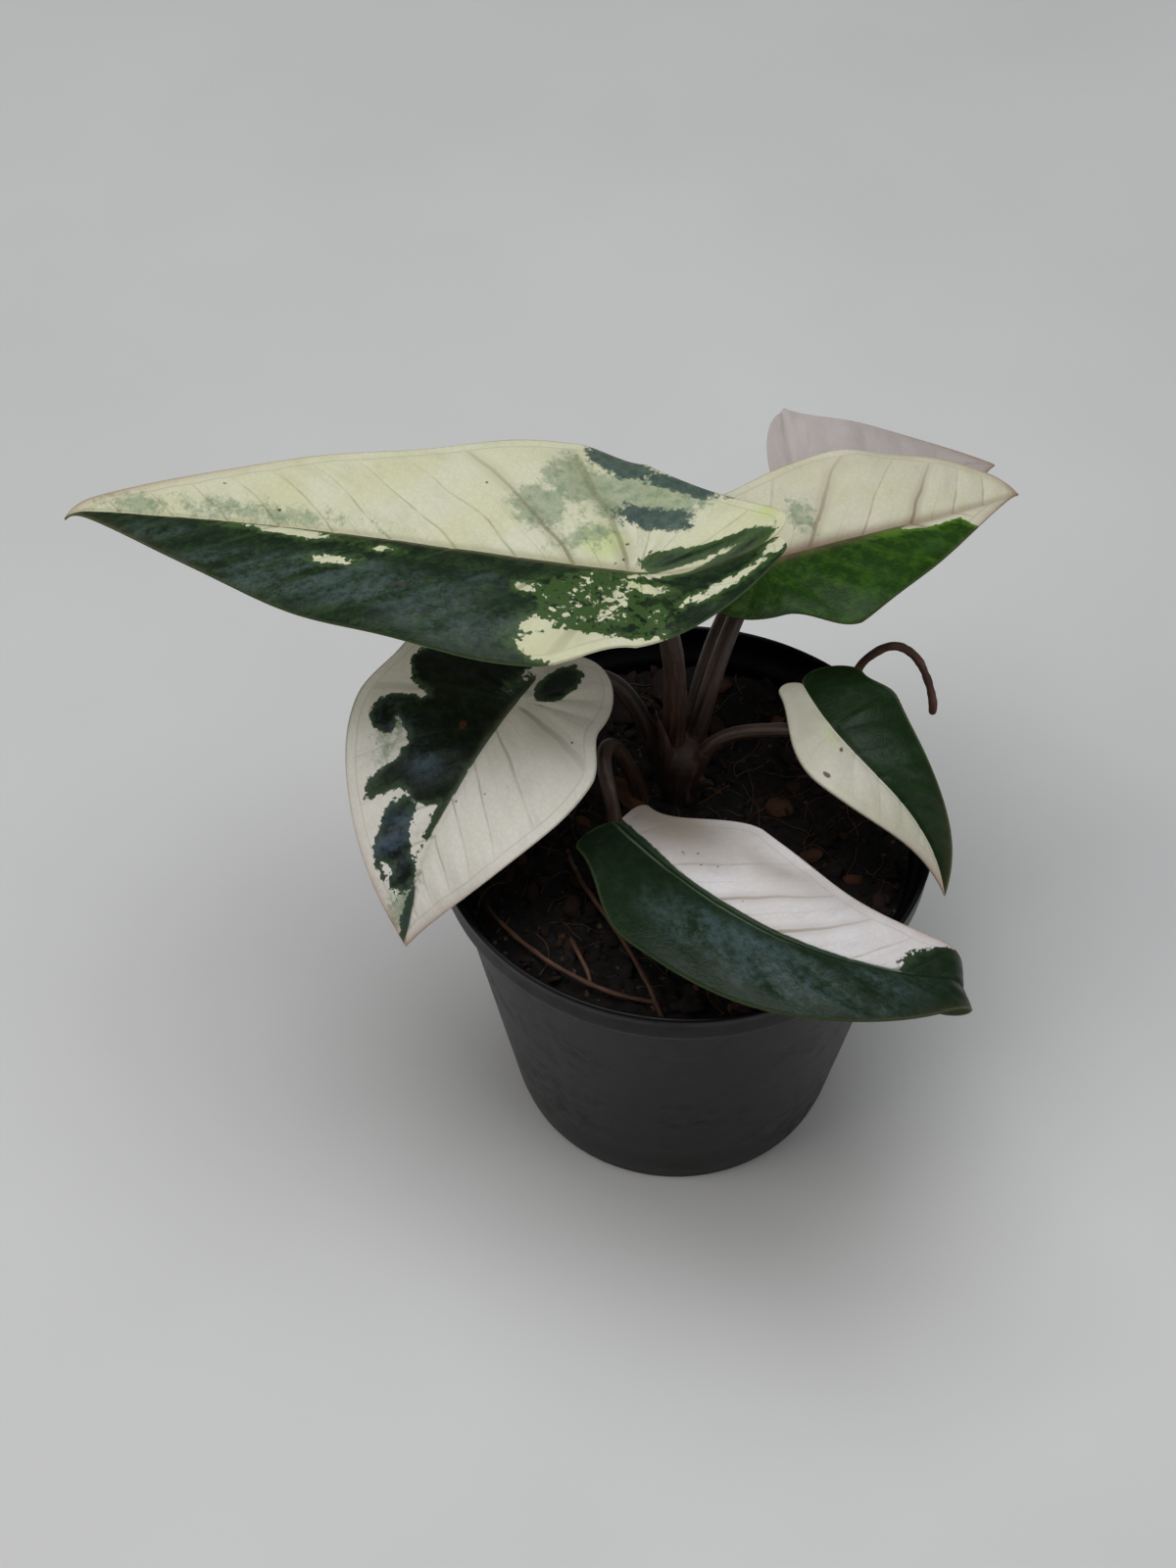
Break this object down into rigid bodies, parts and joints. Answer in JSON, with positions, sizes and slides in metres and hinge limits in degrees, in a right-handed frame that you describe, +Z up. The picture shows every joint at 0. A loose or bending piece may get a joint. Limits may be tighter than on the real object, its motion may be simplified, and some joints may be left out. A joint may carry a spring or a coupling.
{
  "type": "potted alocasia heterophylla",
  "caption": "Young variegated aroid with long arrow-shaped leaves, part green and part cream, on arching petioles, standing in a filled round nursery pot.",
  "frame": {"origin": "middle of the pot's flat base", "axes": "+Z up out of the pot, -Y towards the viewer, the longest leaf pointing towards -X"},
  "size_m": [0.206, 0.1533, 0.1577],
  "materials": {
    "pot_plastic": "thin black moulded plastic, semi-gloss with fine scuffs",
    "potting_mix": "damp dark peat and coir with reddish bark chips",
    "petiole": "mauve-brown skin, satin, finely mottled lengthwise",
    "leaf_green": "dark green with a bluish satin sheen, cream sectors and splashes",
    "leaf_cream": "cream white, satin, with olive veins and green sectors",
    "root": "matt orange-brown root skin"
  },
  "bodies": {
    "root": {"pot": "pot_plastic", "potting_mix": "potting_mix", "stem": "petiole", "long_petiole": "petiole", "long_blade": "leaf_green", "right_petiole": "petiole", "right_blade": "leaf_cream", "back_petiole": "petiole", "back_blade": "leaf_cream", "left_petiole": "petiole", "left_blade": "leaf_cream", "front_petiole": "petiole", "front_blade": "leaf_green", "small_petiole": "petiole", "small_blade": "leaf_green", "front_root": "root", "side_root": "root", "arching_root": "root"}
  },
  "joints": []
}
